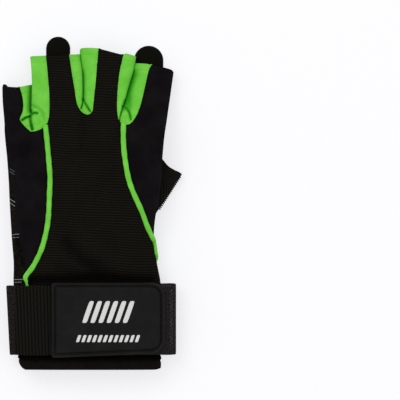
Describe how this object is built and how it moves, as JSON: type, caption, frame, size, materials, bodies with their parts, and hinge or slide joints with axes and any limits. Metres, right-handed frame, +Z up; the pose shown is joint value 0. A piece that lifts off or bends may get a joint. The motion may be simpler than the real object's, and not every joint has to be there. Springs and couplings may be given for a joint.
{
  "type": "fitness glove",
  "caption": "A left-hand half-finger fitness glove in black knit and stretch cloth with bright green finger gussets and piping, pull tabs and a wide wrist strap.",
  "frame": {"origin": "bottom centre of the glove's box as it lies palm down", "axes": "+Y to the fingertips, +X to the thumb side, +Z up out of the back of the hand"},
  "size_m": [0.1116, 0.2062, 0.0266],
  "materials": {
    "knit": "fine ribbed knit mesh",
    "stretch": "smooth matte stretch cloth",
    "lime": "bright smooth stretch cloth",
    "suede": "short-napped synthetic suede",
    "elastic": "ribbed woven elastic",
    "loop": "fuzzy loop pile",
    "rubber": "smooth matte moulded rubber"
  },
  "bodies": {
    "root": {"back_panel": "knit", "outer_side_panel": "stretch", "thumb_side_panel": "stretch", "palm_panel": "suede", "gusset_pinky_ring": "lime", "gusset_ring_middle": "lime", "gusset_middle_index": "lime", "piping_outer": "lime", "piping_inner": "lime", "thumb_sleeve": "knit", "pull_tab_ring": "suede", "pull_tab_index": "suede", "cuff_binding": "stretch", "elastic_strap": "elastic", "loop_band": "loop", "strap_patch": "rubber"}
  },
  "joints": []
}
